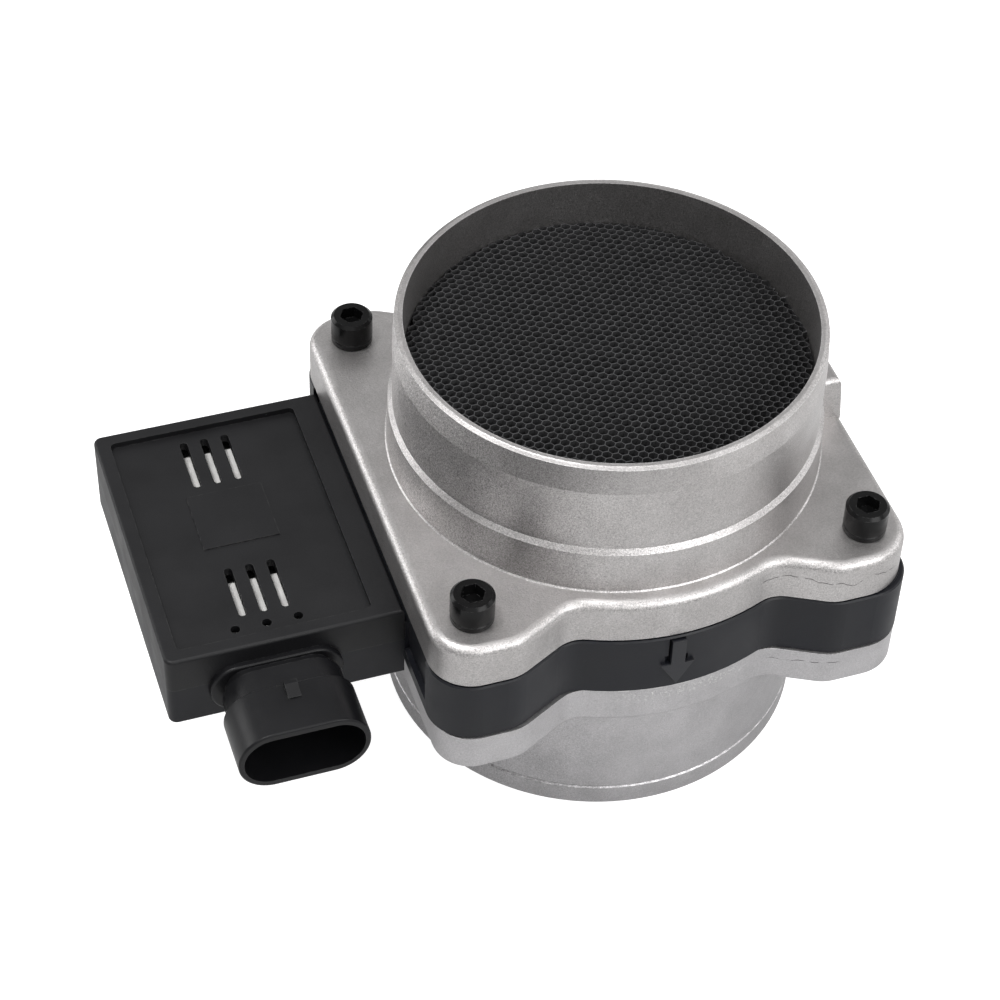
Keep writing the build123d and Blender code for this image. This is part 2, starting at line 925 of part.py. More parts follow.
def flat_seal(z0, z1):
    r0, r1 = seal_in_r + seal_side, seal_out_r - seal_side
    c = seal_chamfer
    return turned([
        (r0 + c, z0), (r1 - c, z0), (r1, z0 + c), (r1, z1 - c),
        (r1 - c, z1), (r0 + c, z1), (r0, z1 - c), (r0, z0 + c),
    ])


def cap_screw(x, y):
    z0 = z_flange_top + washer_h
    z1 = z0 + head_h
    head = rod(x, y, z0, z1, head_r)
    top = head.edges().filter_by_position(Axis.Z, z1 - 0.01, z1 + 0.01)
    head = chamfer(top, head_chamfer)
    low = head.edges().filter_by_position(Axis.Z, z0 - 0.01, z0 + 0.01)
    head = fillet(low, head_round)
    hexagon = RegularPolygon(hex_af / 2, 6, major_radius=False)
    head -= extrude(Pos(x, y, z1 - hex_depth) * hexagon, hex_depth + 1)
    return head + rod(x, y, z_flange_top - screw_reach, z0 + 0.5, screw_r)


def lock_washer(x, y):
    z0 = z_flange_top
    body = rod(x, y, z0, z0 + washer_h, washer_r)
    body = chamfer(body.edges().filter_by(GeomType.CIRCLE), washer_chamfer)
    body -= rod(x, y, z0 - 1, z0 + washer_h + 1, screw_r + 0.2)
    split = Pos(x + washer_r - 1.2, y - 0.6, z0) * Rot(0, 0, 30)
    return body - split * Box(4.0, washer_split, 4.0)


def sleeve(x, y):
    body = rod(x, y, z_ring, z_inlet_flange, sleeve_r)
    return body - rod(x, y, z_ring - 1, z_inlet_flange + 1, clear_r)


def main():
    save("inlet_housing", inlet_housing())
    save("outlet_housing", outlet_housing())
    save("sensor_body", sensor_body())
    save("electronics_cover", electronics_cover())
    save("cover_gasket", cover_gasket())
    save("heat_spreader", heat_spreader())
    save("circuit_board", circuit_board())
    save("control_chip", control_chip())
    save("chip_resistors", chip_resistors())
    save("capacitors", capacitors())
    save("board_screws", board_screws())
    save("connector_shell", connector_shell())
    save("connector_pins", connector_pins())
    save("sampling_bridge", sampling_bridge())
    save("element_posts", element_posts())
    save("lead_strips", lead_strips())
    save("hot_wire", hot_wire())
    save("air_temperature_bead", air_temperature_bead())
    save("inlet_screen", inlet_screen())
    save("screen_frame", screen_frame())
    save("inlet_seal", flat_seal(z_inlet_flange - seal_depth, z_inlet_flange))
    save("outlet_seal", flat_seal(z_ring, z_ring + seal_depth))
    save("cap_screws", at_screws(cap_screw))
    save("lock_washers", at_screws(lock_washer))
    save("spacer_sleeves", at_screws(sleeve))


main()
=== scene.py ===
import math

import bmesh
import bpy
from mathutils import Matrix, Vector, noise


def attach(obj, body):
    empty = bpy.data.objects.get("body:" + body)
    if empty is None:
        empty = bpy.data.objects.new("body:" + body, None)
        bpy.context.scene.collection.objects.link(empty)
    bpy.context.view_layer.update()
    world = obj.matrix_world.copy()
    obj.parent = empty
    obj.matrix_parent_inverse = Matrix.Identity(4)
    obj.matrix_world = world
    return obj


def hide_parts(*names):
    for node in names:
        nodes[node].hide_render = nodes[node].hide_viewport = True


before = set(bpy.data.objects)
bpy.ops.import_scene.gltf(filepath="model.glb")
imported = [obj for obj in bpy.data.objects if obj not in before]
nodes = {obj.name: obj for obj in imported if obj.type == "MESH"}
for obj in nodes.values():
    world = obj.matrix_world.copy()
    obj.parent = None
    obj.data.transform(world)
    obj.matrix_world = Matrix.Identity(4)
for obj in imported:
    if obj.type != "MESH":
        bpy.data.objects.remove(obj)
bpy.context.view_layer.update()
mm = 0.001
print("model loaded:", len(nodes), "nodes")


# node helpers: every material is built from these few calls

def startMaterial(name):
    mat = bpy.data.materials.new(name)
    mat.use_nodes = True
    tree = mat.node_tree
    shader = tree.nodes["Principled BSDF"]
    coords = tree.nodes.new("ShaderNodeTexCoord").outputs["Object"]
    return mat, tree, shader, coords


def feed(tree, socket, value):
    # another node's output is linked, a number or colour is written in
    if isinstance(value, bpy.types.NodeSocket):
        tree.links.new(value, socket)
    elif isinstance(value, tuple):
        socket.default_value = (*value, 1.0)
    else:
        socket.default_value = value


def splitXYZ(tree, vector):
    node = tree.nodes.new("ShaderNodeSeparateXYZ")
    tree.links.new(vector, node.inputs[0])
    return node.outputs


def noiseAt(tree, coords, size, detail=3.0, rough=0.5, stretch=None):
    # size is the width of one blotch in mm
    if stretch:
        mapping = tree.nodes.new("ShaderNodeMapping")
        mapping.inputs["Scale"].default_value = stretch
        tree.links.new(coords, mapping.inputs["Vector"])
        coords = mapping.outputs["Vector"]
    tex = tree.nodes.new("ShaderNodeTexNoise")
    tex.inputs["Scale"].default_value = 1.0 / (size * mm)
    tex.inputs["Detail"].default_value = detail
    tex.inputs["Roughness"].default_value = rough
    tree.links.new(coords, tex.inputs["Vector"])
    return tex.outputs["Fac"]


def remap(tree, value, low, high, toLow=0.0, toHigh=1.0):
    node = tree.nodes.new("ShaderNodeMapRange")
    node.inputs["From Min"].default_value = low
    node.inputs["From Max"].default_value = high
    node.inputs["To Min"].default_value = toLow
    node.inputs["To Max"].default_value = toHigh
    tree.links.new(value, node.inputs["Value"])
    return node.outputs["Result"]


def past(tree, place, low, high, toLow=0.0, toHigh=1.0):
    # the same between two places in mm
    return remap(tree, place, low * mm, high * mm, toLow, toHigh)


def maths(tree, kind, a, b=0.0):
    node = tree.nodes.new("ShaderNodeMath")
    node.operation = kind
    feed(tree, node.inputs[0], a)
    feed(tree, node.inputs[1], b)
    return node.outputs[0]


def times(tree, first, *others):
    for other in others:
        first = maths(tree, "MULTIPLY", first, other)
    return first


def toneOn(tree, mask, tone):
    # 1 where the mask is 0, and tone where it is 1
    return remap(tree, mask, 0.0, 1.0, 1.0, tone)


def inside(tree, place, low, high, soft=0.5):
    # 1 between two places in mm, fading to 0 over soft
    return times(tree, past(tree, place, low - soft, low), past(tree, place, high + soft, high))


def blendColour(tree, fac, a, b, mode="MIX"):
    node = tree.nodes.new("ShaderNodeMix")
    node.data_type = "RGBA"
    node.blend_type = mode
    feed(tree, node.inputs[0], fac)
    feed(tree, node.inputs[6], a)
    feed(tree, node.inputs[7], b)
    return node.outputs[2]


def greyOf(tree, value):
    node = tree.nodes.new("ShaderNodeCombineColor")
    for k in range(3):
        tree.links.new(value, node.inputs[k])
    return node.outputs[0]


def shadeBy(tree, base, value):
    return blendColour(tree, 1.0, base, greyOf(tree, value), "MULTIPLY")


def dots(tree, coords, spacing, radius, share):
    # round specks, one in each cell of the given width, of which only a share is kept
    tex = tree.nodes.new("ShaderNodeTexVoronoi")
    tex.inputs["Scale"].default_value = 1.0 / (spacing * mm)
    tree.links.new(coords, tex.inputs["Vector"])
    near = remap(tree, tex.outputs["Distance"], radius / spacing, radius / spacing * 0.6)
    pick = tree.nodes.new("ShaderNodeSeparateColor")
    tree.links.new(tex.outputs["Color"], pick.inputs[0])
    kept = maths(tree, "LESS_THAN", pick.outputs[0], share)
    return times(tree, near, kept)


def distanceFromAxis(tree, x, y):
    square = maths(tree, "ADD", times(tree, x, x), times(tree, y, y))
    return maths(tree, "SQRT", square)


edgeSearch = {"samples": 6, "flat": 0.995, "sharp": 0.90}   # how far the smoothed normal turns


def wornEdge(tree, width):
    # 1 along sharp edges, 0 on open faces
    soft = tree.nodes.new("ShaderNodeBevel")
    soft.samples = edgeSearch["samples"]
    soft.inputs["Radius"].default_value = width * mm
    flat = tree.nodes.new("ShaderNodeNewGeometry")
    turn = tree.nodes.new("ShaderNodeVectorMath")
    turn.operation = "DOT_PRODUCT"
    tree.links.new(soft.outputs["Normal"], turn.inputs[0])
    tree.links.new(flat.outputs["Normal"], turn.inputs[1])
    return remap(tree, turn.outputs["Value"], edgeSearch["flat"], edgeSearch["sharp"])


def addBump(tree, shader, height, depth):
    # depth is the height of the relief in mm
    bump = tree.nodes.new("ShaderNodeBump")
    bump.inputs["Strength"].default_value = 1.0
    bump.inputs["Distance"].default_value = depth * mm
    tree.links.new(height, bump.inputs["Height"])
    tree.links.new(bump.outputs["Normal"], shader.inputs["Normal"])


# places are in mm: x and y across the bore, z along it, r from its axis; tones multiply the colour
castFinish = {
    "light": (0.505, 0.490, 0.486),
    "dark": (0.440, 0.425, 0.421),
    "edge": (0.66, 0.655, 0.65),
    "metallic": 0.92,
    "roughness": (0.31, 0.43),
    "relief": 0.05,
    "grain": 0.42,         # width of one blasted pit
    "fine": 0.20,
    "mottle": 9.0,
    "wear": 0.35,          # how wide the polished edges are
    "wallGrain": 0.85,     # how strong the specks are on upright faces
    "topGrain": 0.46,      # on level faces
    "bevelGrain": 0.45,    # added on roundings
    "leftGrain": 1.1,      # added on the inlet's left wall
    # painted highlight: roundings are painted lighter
    "bevelHighlight": 1.06,
    "castTone": 0.99,      # all but the end band
    "outsideR": (48.0, 48.2),
    "tubeR": (48.3, 51.3),         # the inlet's wall lies between these
    "tubeZ": (74.0, 76.0),
    "leftX": (-45.0, -10.0),
    "frontY": (-40.0, -44.0),
    "bore": {"r": (47.4, 47.2), "z": (98.0, 99.0), "metallic": 0.96},   # above the screen
    # the inlet's end band is left as cast; its left part is painted darker than its right, a
    # painted shade
    "band": {
        "z": 104.0, "rough": 0.08,
        "tone": (0.58, 1.12), "x": (-34.0, 12.0), "dimX": (-41.0, -34.0),
    },
    "rim": {"z": (110.9, 111.1), "tone": 1.05, "burrR": (47.45, 47.2), "burrTone": 1.15},
    # painted shade on the inlet's front left: direction, how near to it, and tones at foot and
    # tube
    "paintedShade": {
        "toward": (-0.743, -0.669), "near": (0.90, 0.99),
        "z": (86.0, 92.0), "tone": (0.62, 0.76),
    },
    # painted light: the far left of the inlet's wall is lighter
    "paintedLight": {"x": (-42.0, -48.0), "more": 0.32},                # its far left is lighter
    "pits": {"spacing": 9.0, "radius": 0.17, "share": 0.3, "tone": 0.4},
    # cold laps in the flange sides: x from, x to, height, how much they wander
    "seams": ((20.0, 50.0, 69.6, 2.8), (25.0, 38.0, 43.2, 1.6)),
    "seamWidth": (0.16, 0.05),
    "seamTone": 0.3,
    "scar": {"x": (-9.0, 12.0), "z": (42.8, 45.0), "height": 1.6},   # chipped skin under the ring
    "burr": {"x": (-14.0, 24.0), "z": (46.15, 46.6)},           # bright flash below the ring
    # painted shade in the outlet's groove, broken by noise
    "groove": {"z": (5.5, 6.6), "tone": 0.68},
}
outletFinish = dict(
    castFinish,
    light=(0.500, 0.490, 0.499),
    dark=(0.436, 0.427, 0.435),
    wallGrain=0.55,
)


def castAluminium(name, finish):
    mat, tree, shader, coords = startMaterial(name)
    x, y, z = splitXYZ(tree, coords)
    fromAxis = distanceFromAxis(tree, x, y)
    up = splitXYZ(tree, tree.nodes.new("ShaderNodeNewGeometry").outputs["Normal"])[2]
    upright = remap(tree, up, 0.5, 0.3)
    outer = past(tree, fromAxis, *finish["outsideR"])
    front = past(tree, y, *finish["frontY"])
    tube = inside(tree, fromAxis, *finish["tubeR"], 0.3)

    # blasted skin with polished edges
    grain = noiseAt(tree, coords, finish["grain"], 2.0, 0.6)
    fine = noiseAt(tree, coords, finish["fine"], 1.0, 0.5)
    height = maths(tree, "ADD", grain, fine)
    mottle = remap(tree, noiseAt(tree, coords, finish["mottle"], 4.0, 0.55), 0.35, 0.65)
    base = blendColour(tree, mottle, finish["dark"], finish["light"])
    worn = times(tree, wornEdge(tree, finish["wear"]), remap(tree, grain, 0.35, 0.55))
    base = blendColour(tree, worn, base, finish["edge"])

    # the specks' strength follows how steep the face is
    rounding = times(tree, remap(tree, up, 0.25, 0.45), remap(tree, up, 0.97, 0.90))
    # painted highlight: roundings are painted lighter
    base = shadeBy(tree, base, toneOn(tree, rounding, finish["bevelHighlight"]))
    reach = remap(tree, up, 0.90, 0.97, finish["wallGrain"], finish["topGrain"])
    coarse = times(tree, upright, past(tree, x, *finish["leftX"], finish["leftGrain"], 0.0), tube)
    reach = times(tree, reach, maths(tree, "ADD", coarse, 1.0))
    reach = maths(tree, "ADD", reach, remap(tree, rounding, 0.0, 1.0, 0.0, finish["bevelGrain"]))
    # grain specks; the painted shade and light below are multiplied into the same value
    speckAndPaintedLight = times(tree, maths(tree, "SUBTRACT", height, 1.0), reach)

    # end band and rim
    band = finish["band"]
    onBand = times(tree, past(tree, z, band["z"] - 0.1, band["z"] + 0.1), outer)
    speckAndPaintedLight = maths(tree, "ADD", speckAndPaintedLight, remap(tree, onBand, 0.0, 1.0, finish["castTone"], 1.0))
    # painted shade: the band's left part is darker than its right
    across = maths(tree, "SUBTRACT", past(tree, x, *band["x"], *band["tone"]), 1.0)
    across = times(tree, across, times(tree, onBand, past(tree, x, *band["dimX"])))
    speckAndPaintedLight = times(tree, speckAndPaintedLight, maths(tree, "ADD", across, 1.0))
    rim = finish["rim"]
    onRim = past(tree, z, *rim["z"])
    rimBurr = remap(tree, noiseAt(tree, coords, 3.0, 4.0, 0.65), 0.42, 0.56)
    rimBurr = times(tree, onRim, past(tree, fromAxis, *rim["burrR"]), rimBurr)
    speckAndPaintedLight = times(tree, speckAndPaintedLight, toneOn(tree, onRim, rim["tone"]))
    speckAndPaintedLight = times(tree, speckAndPaintedLight, toneOn(tree, rimBurr, rim["burrTone"]))

    # painted shade at the inlet's front left, painted light on a strip at its far left
    paintedShade, paintedLight = finish["paintedShade"], finish["paintedLight"]
    towardX, towardY = paintedShade["toward"]
    toward = maths(tree, "ADD", times(tree, x, towardX), times(tree, y, towardY))
    toward = maths(tree, "DIVIDE", toward, fromAxis)
    wall = times(tree, tube, upright, past(tree, z, *finish["tubeZ"]))
    # painted light on the far left of the wall
    lighter = times(tree, wall, past(tree, x, *paintedLight["x"], 0.0, paintedLight["more"]))
    speckAndPaintedLight = times(tree, speckAndPaintedLight, maths(tree, "ADD", lighter, 1.0))
    # painted shade: the front left of the wall is darker, most at the foot
    darker = maths(tree, "SUBTRACT", past(tree, z, *paintedShade["z"], *paintedShade["tone"]), 1.0)
    darker = times(tree, darker, times(tree, remap(tree, toward, *paintedShade["near"]), wall))
    speckAndPaintedLight = times(tree, speckAndPaintedLight, maths(tree, "ADD", darker, 1.0))

    # flaws: open pits, cold laps, chipped skin and flash; painted shade in the groove
    pits = finish["pits"]
    holes = dots(tree, coords, pits["spacing"], pits["radius"], pits["share"])
    speckAndPaintedLight = times(tree, speckAndPaintedLight, toneOn(tree, holes, pits["tone"]))
    drift = noiseAt(tree, coords, 7.0, 2.0, 0.5, (1.0, 1.0, 0.2))
    broken = noiseAt(tree, coords, 2.5, 2.0, 0.5)
    wide, thin = finish["seamWidth"]
    for low, high, level, wander in finish["seams"]:
        middle = remap(tree, drift, 0.3, 0.7, (level - wander / 2) * mm, (level + wander / 2) * mm)
        off = maths(tree, "ABSOLUTE", maths(tree, "SUBTRACT", z, middle))
        line = times(tree, past(tree, off, wide, thin), inside(tree, x, low, high, 2.0), front)
        line = times(tree, line, remap(tree, broken, 0.42, 0.5))
        speckAndPaintedLight = times(tree, speckAndPaintedLight, toneOn(tree, line, finish["seamTone"]))
        height = maths(tree, "SUBTRACT", height, line)
    scar = finish["scar"]
    chips = remap(tree, noiseAt(tree, coords, 0.9, 3.0, 0.7), 0.52, 0.62)
    chips = times(tree, chips, inside(tree, x, *scar["x"], 8.0))
    chips = times(tree, chips, inside(tree, z, *scar["z"], 0.6), front)
    height = maths(tree, "ADD", height, times(tree, chips, scar["height"]))
    groove = finish["groove"]
    # painted shade in the groove, broken by noise
    grooveShade = remap(tree, noiseAt(tree, coords, 1.4, 3.0, 0.6), 0.44, 0.58, 1.0, 0.1)
    grooveShade = times(tree, inside(tree, z, *groove["z"], 0.1), outer, grooveShade)
    speckAndPaintedLight = times(tree, speckAndPaintedLight, toneOn(tree, grooveShade, groove["tone"]))
    burr = finish["burr"]
    flash = times(tree, inside(tree, x, *burr["x"], 6.0), inside(tree, z, *burr["z"], 0.05))
    flash = times(tree, flash, remap(tree, broken, 0.44, 0.52), front)
    bright = maths(tree, "MAXIMUM", chips, flash)

    base = blendColour(tree, bright, shadeBy(tree, base, speckAndPaintedLight), finish["edge"])
    tree.links.new(base, shader.inputs["Base Color"])
    bore = finish["bore"]
    onBore = times(tree, past(tree, fromAxis, *bore["r"]), past(tree, z, *bore["z"]))
    metal = remap(tree, onBore, 0.0, 1.0, finish["metallic"], bore["metallic"])
    tree.links.new(metal, shader.inputs["Metallic"])
    rough = remap(tree, grain, 0.3, 0.7, *finish["roughness"])
    rough = maths(tree, "ADD", rough, remap(tree, onBand, 0.0, 1.0, 0.0, band["rough"]))
    tree.links.new(rough, shader.inputs["Roughness"])
    addBump(tree, shader, height, finish["relief"])
    return mat


# grain is the width of the mould's texture and relief its height, mm
mouldFinish = {
    "ring": {
        "base": (0.0068, 0.0074, 0.0106), "roughness": (0.36, 0.50), "shine": 0.27,
        "grain": 0.40, "relief": 0.020,
        "tray": (0.0050, 0.0052, 0.0078), "trayX": (-58.5, -57.0),
        "rubbedHighlight": (0.022, 0.0225, 0.026),      # the raised flow arrow is painted paler, as wear and as a painted highlight
        "arrowR": (55.9, 56.1), "arrowX": (-7.0, 5.0),
    },
    "box": {
        "base": (0.0078, 0.0078, 0.0088), "roughness": (0.40, 0.54), "shine": 0.28,
        "grain": 0.35, "relief": 0.025,
    },
    "shell": {
        "base": (0.0062, 0.0062, 0.0072), "roughness": (0.30, 0.44), "shine": 0.24,
        "grain": 0.30, "relief": 0.015,
    },
    "rubber": {
        "base": (0.02, 0.02, 0.02), "roughness": (0.70, 0.85), "shine": 0.5,
        "grain": 0.40, "relief": 0.020,
    },
    "chip": {
        "base": (0.02, 0.02, 0.02), "roughness": (0.50, 0.65), "shine": 0.5,
        "grain": 0.20, "relief": 0.010,
    },
}
mouldWear = {
    "edge": (0.030, 0.030, 0.030),
    "width": 0.35,
    "cloud": 14.0,         # width of the faint light and dark clouds, mm
    "cloudTone": (0.86, 1.14),
    "dust": (0.10, 0.10, 0.10),
    "dustSpacing": 9.0,
    "dustRadius": 0.16,
    "dustShare": 0.35,
}


def mouldedPlastic(name, finish, wear):
    mat, tree, shader, coords = startMaterial(name)
    grain = noiseAt(tree, coords, finish["grain"], 2.0, 0.6)
    cloud = noiseAt(tree, coords, wear["cloud"], 3.0, 0.5)
    base = finish["base"]
    if "tray" in finish:
        x, y, _ = splitXYZ(tree, coords)
        base = blendColour(tree, past(tree, x, *finish["trayX"]), finish["tray"], base)
        proud = past(tree, distanceFromAxis(tree, x, y), *finish["arrowR"])
        proud = times(tree, proud, inside(tree, x, *finish["arrowX"]))
        # the raised arrow is painted paler: wear and a painted highlight
        base = blendColour(tree, proud, base, finish["rubbedHighlight"])
    base = shadeBy(tree, base, remap(tree, cloud, 0.3, 0.7, *wear["cloudTone"]))
    rub = remap(tree, noiseAt(tree, coords, 1.6, 3.0, 0.6), 0.42, 0.62)
    base = blendColour(tree, times(tree, wornEdge(tree, wear["width"]), rub), base, wear["edge"])
    dust = dots(tree, coords, wear["dustSpacing"], wear["dustRadius"], wear["dustShare"])
    base = blendColour(tree, dust, base, wear["dust"])
    tree.links.new(base, shader.inputs["Base Color"])
    shader.inputs["Specular IOR Level"].default_value = finish["shine"]
    rough = remap(tree, cloud, 0.3, 0.7, *finish["roughness"])
    tree.links.new(rough, shader.inputs["Roughness"])
    addBump(tree, shader, grain, finish["relief"])
    return mat


metalFinish = {
    "blackSteel": {
        "base": (0.0045, 0.0045, 0.0047), "metallic": 0.0, "roughness": (0.16, 0.26),
        "shine": 0.16, "grain": 0.25, "relief": 0.008,
        "glint": (0.05, 0.05, 0.05), "glintWidth": 0.25,      # painted glint along the edges
    },
    "zinc": {
        "base": (0.60, 0.60, 0.58), "metallic": 1.0, "roughness": (0.30, 0.45),
        "grain": 0.5, "relief": 0.010,
    },
    "tin": {
        "base": (0.72, 0.69, 0.62), "metallic": 1.0, "roughness": (0.22, 0.35),
        "grain": 0.5, "relief": 0.010,
    },
    "sheet": {
        "base": (0.92, 0.91, 0.89), "metallic": 0.0, "roughness": (0.42, 0.55),
        "grain": 0.5, "relief": 0.010,
    },
    "plate": {
        "base": (0.90, 0.89, 0.87), "metallic": 0.0, "roughness": (0.42, 0.55),
        "grain": 0.5, "relief": 0.010,
        # painted shadow: the plate is dark where the slot ends shade it
        "shadowColour": (0.02, 0.02, 0.02),
        "shadowedY": ((-30.0, -20.2), (-4.5, 3.0), (38.2, 45.0)),    # dark from, dark to, mm
    },
    "foilEdge": {
        "base": (0.50, 0.50, 0.51), "metallic": 1.0, "roughness": (0.40, 0.55),
        "grain": 0.8, "relief": 0.010,
        # painted shade: the strands are darker towards the back
        "shadeY": (12.0, 40.0), "shadeTone": 0.5,      # darker towards the back
    },
    # painted shade: the cell walls are dark so the cells look deep
    "shadedFoilWall": {
        "base": (0.08, 0.08, 0.083), "metallic": 0.6, "roughness": (0.50, 0.62),
        "grain": 0.8, "relief": 0.005,
    },
}
metalCloud = {"size": 3.0, "tone": (0.85, 1.12)}


def plainMetal(name, finish):
    mat, tree, shader, coords = startMaterial(name)
    grain = noiseAt(tree, coords, finish["grain"], 2.0, 0.6)
    cloud = noiseAt(tree, coords, metalCloud["size"], 3.0, 0.5)
    base = shadeBy(tree, finish["base"], remap(tree, cloud, 0.3, 0.7, *metalCloud["tone"]))
    y = splitXYZ(tree, coords)[1]
    # painted shadow bands across the plate
    for low, high in finish.get("shadowedY", ()):
        base = blendColour(tree, inside(tree, y, low, high, 0.2), base, finish["shadowColour"])
    # painted shade towards the back
    if "shadeY" in finish:
        base = shadeBy(tree, base, past(tree, y, *finish["shadeY"], 1.0, finish["shadeTone"]))
    # painted glint: edges are painted lighter, broken by noise
    if "glint" in finish:
        rub = remap(tree, noiseAt(tree, coords, 0.8, 3.0, 0.6), 0.5, 0.6)
        paintedGlint = times(tree, wornEdge(tree, finish["glintWidth"]), rub)
        base = blendColour(tree, paintedGlint, base, finish["glint"])
    tree.links.new(base, shader.inputs["Base Color"])
    shader.inputs["Metallic"].default_value = finish["metallic"]
    shader.inputs["Specular IOR Level"].default_value = finish.get("shine", 0.5)
    rough = remap(tree, cloud, 0.3, 0.7, *finish["roughness"])
    tree.links.new(rough, shader.inputs["Roughness"])
    addBump(tree, shader, grain, finish["relief"])
    return mat


boardFinish = {
    "mask": (0.02, 0.11, 0.05),
    "track": (0.035, 0.17, 0.08),
    "pitch": 1.6,          # mm from track to track
    "trackWidth": 0.03,
    "roughness": 0.35,
    "grain": 0.6,
    "relief": 0.01,
}


def boardLaminate(name, finish):
    mat, tree, shader, coords = startMaterial(name)
    tracks = tree.nodes.new("ShaderNodeTexBrick")
    tracks.inputs["Scale"].default_value = 1.0 / (finish["pitch"] * mm) / 4
    feed(tree, tracks.inputs["Color1"], finish["mask"])
    feed(tree, tracks.inputs["Color2"], finish["mask"])
    feed(tree, tracks.inputs["Mortar"], finish["track"])
    tracks.inputs["Mortar Size"].default_value = finish["trackWidth"]
    tree.links.new(coords, tracks.inputs["Vector"])
    tree.links.new(tracks.outputs["Color"], shader.inputs["Base Color"])
    shader.inputs["Roughness"].default_value = finish["roughness"]
    addBump(tree, shader, noiseAt(tree, coords, finish["grain"]), finish["relief"])
    return mat


cast = castAluminium("castAluminium", castFinish)
castOutlet = castAluminium("castOutlet", outletFinish)
ringPlastic = mouldedPlastic("ringPlastic", mouldFinish["ring"], mouldWear)
boxPlastic = mouldedPlastic("boxPlastic", mouldFinish["box"], mouldWear)
shellPlastic = mouldedPlastic("shellPlastic", mouldFinish["shell"], mouldWear)
rubber = mouldedPlastic("sealRubber", mouldFinish["rubber"], mouldWear)
chipBlack = mouldedPlastic("chipBlack", mouldFinish["chip"], mouldWear)
blackSteel = plainMetal("blackSteel", metalFinish["blackSteel"])
zincSteel = plainMetal("zincSteel", metalFinish["zinc"])
tinnedMetal = plainMetal("tinnedMetal", metalFinish["tin"])
sheetMetal = plainMetal("sheetMetal", metalFinish["sheet"])
plateMetal = plainMetal("plateMetal", metalFinish["plate"])
foilEdge = plainMetal("foilEdge", metalFinish["foilEdge"])
shadedFoilWall = plainMetal("shadedFoilWall", metalFinish["shadedFoilWall"])
laminate = boardLaminate("boardLaminate", boardFinish)

finishOf = {
    "inlet_housing": cast,
    "outlet_housing": castOutlet,
    "sensor_body": ringPlastic,
    "electronics_cover": boxPlastic,
    "cover_gasket": rubber,
    "heat_spreader": plateMetal,
    "circuit_board": laminate,
    "control_chip": chipBlack,
    "chip_resistors": chipBlack,
    "capacitors": sheetMetal,
    "board_screws": zincSteel,
    "connector_shell": shellPlastic,
    "connector_pins": tinnedMetal,
    "sampling_bridge": ringPlastic,
    "element_posts": zincSteel,
    "lead_strips": tinnedMetal,
    "hot_wire": tinnedMetal,
    "air_temperature_bead": chipBlack,
    "inlet_screen": foilEdge,
    "screen_frame": sheetMetal,
    "inlet_seal": rubber,
    "outlet_seal": rubber,
    "cap_screws": blackSteel,
    "lock_washers": blackSteel,
    "spacer_sleeves": zincSteel,
}
for name, obj in nodes.items():
    obj.data.materials.clear()
    obj.data.materials.append(finishOf[name])
print("finishes set:", len(finishOf))


screen = {
    "pitchX": 1.91,        # column to column, mm
    "pitchY": 2.03,        # cell to cell along a column
    "strand": 0.14,        # width of the single foil's upper edge
    "double": 0.95,        # squeezes the holes where two foils are bonded
    "depth": 8.0,
    "level": 99.4,
    "radius": 46.93,
    "spare": 0.9,          # foil this far past the wall is pressed back onto it
    "wander": 0.45,        # how far the rows stray from straight
    "wave": 11.0,          # length of one such bend
    "crush": 0.8,          # how far the cells by the wall are bent
    "crushWave": 1.3,
    "crushBand": 3.0,      # how far in from the wall that reaches
    "crushMost": 1.3,
    "crushFront": 0.2,     # share of it at the front and back
    "crushSides": 0.9,     # added towards the left and right
    "seed": 4,             # keeps the bends the same in every run
}


def makeScreen(spec):
    bm = bmesh.new()
    a, b = spec["pitchX"], spec["pitchY"]
    bmesh.ops.create_circle(bm, cap_ends=True, segments=6, radius=1.0)
    turn = Matrix.Rotation(math.pi / 6, 3, "Z")
    bmesh.ops.rotate(bm, cent=(0, 0, 0), matrix=turn, verts=bm.verts[:])
    bmesh.ops.scale(bm, vec=(a * 2 / 3, b / math.sqrt(3), 1), verts=bm.verts[:])
    cell = bm.faces[:]
    bmesh.ops.inset_individual(bm, faces=cell, thickness=spec["strand"] / 2)
    bmesh.ops.scale(bm, vec=(1, spec["double"], 1), verts=cell[0].verts[:])
    bmesh.ops.delete(bm, geom=cell, context="FACES_ONLY")
    rows = math.ceil(spec["radius"] / b) + 1
    columns = math.ceil(spec["radius"] / a) + 1
    copyAlong(bm, [(0, j * b) for j in range(-rows, rows + 1) if j])
    copyAlong(bm, [(i * a, (i % 2) * b / 2) for i in range(-columns, columns + 1) if i])
    bmesh.ops.remove_doubles(bm, verts=bm.verts[:], dist=0.02)
    bendFoil(bm, spec)
    pressToWall(bm, spec["radius"], spec["spare"])
    sinkFoil(bm, spec["level"], spec["depth"])
    bmesh.ops.scale(bm, vec=(mm, mm, mm), verts=bm.verts[:])
    bmesh.ops.recalc_face_normals(bm, faces=bm.faces[:])
    bm.normal_update()
    for face in bm.faces:
        # upright cell walls get the painted shade material
        face.material_index = 0 if face.normal.z > 0.4 else 1
    mesh = bpy.data.meshes.new("honeycomb_screen")
    bm.to_mesh(mesh)
    bm.free()
    obj = bpy.data.objects.new("honeycomb_screen", mesh)
    bpy.context.scene.collection.objects.link(obj)
    mesh.materials.append(foilEdge)
    mesh.materials.append(shadedFoilWall)
    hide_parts("inlet_screen")
    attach(obj, "root")
    print("screen faces:", len(mesh.polygons))


def copyAlong(bm, steps):
    seed = bm.verts[:] + bm.edges[:] + bm.faces[:]
    for x, y in steps:
        copy = bmesh.ops.duplicate(bm, geom=seed)["geom"]
        moved = [v for v in copy if isinstance(v, bmesh.types.BMVert)]
        bmesh.ops.translate(bm, vec=(x, y, 0), verts=moved)


